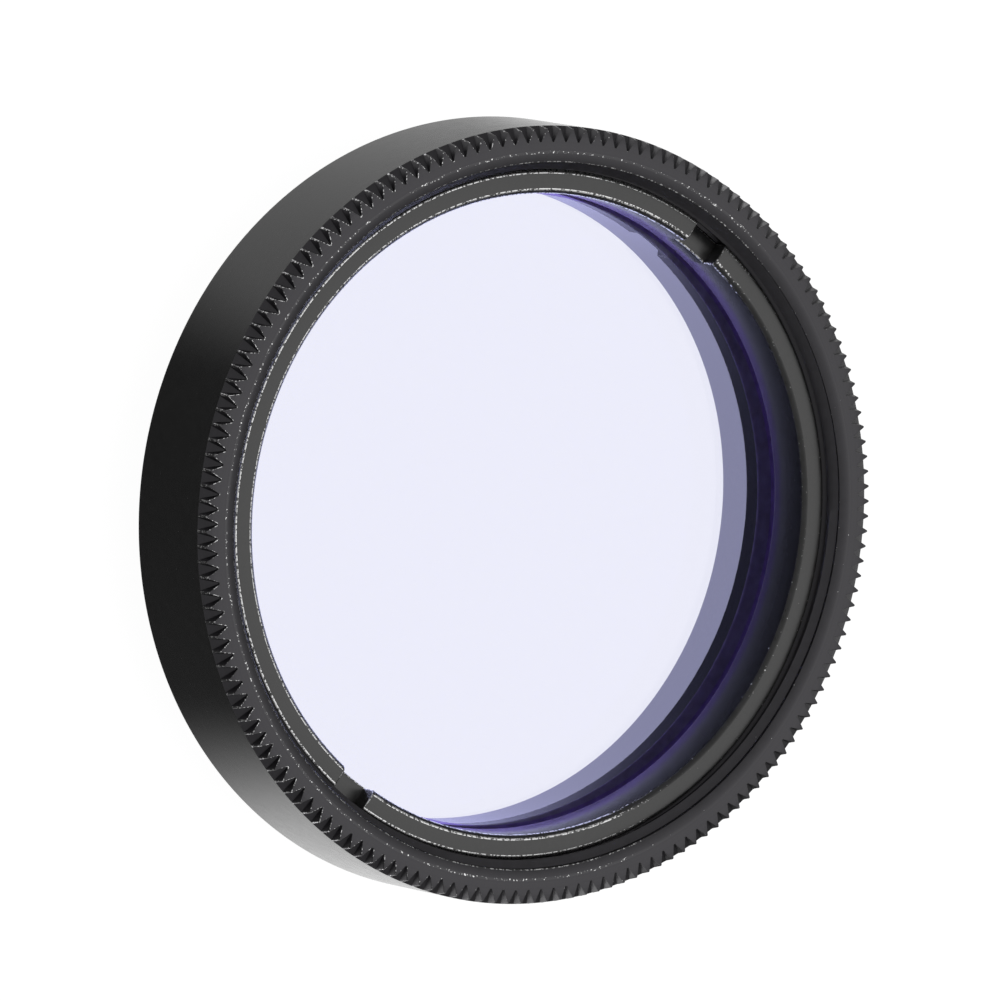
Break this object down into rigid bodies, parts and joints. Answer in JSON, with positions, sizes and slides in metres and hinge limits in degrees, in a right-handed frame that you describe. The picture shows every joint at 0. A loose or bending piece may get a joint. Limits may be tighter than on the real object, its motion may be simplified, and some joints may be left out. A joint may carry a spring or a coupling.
{
  "type": "light pollution filter",
  "caption": "Round screw-in optical filter: pale lavender glass held by a slotted ring in a black, finely knurled cell with a thread behind it.",
  "frame": {"origin": "centre of the male thread's end face, on which the filter stands", "axes": "+Z along the optical axis, out of the knurled front; the ring's two slots lie on the X axis"},
  "size_m": [0.0314, 0.0314, 0.0078],
  "materials": {
    "cell_black": "turned, knurled and black anodised, satin",
    "coated_glass": "polished optical glass, pale lavender tint, purple coating",
    "ring_black": "turned and black anodised, satin"
  },
  "bodies": {
    "root": {"filter_cell": "cell_black", "filter_glass": "coated_glass", "retaining_ring": "ring_black"}
  },
  "joints": []
}
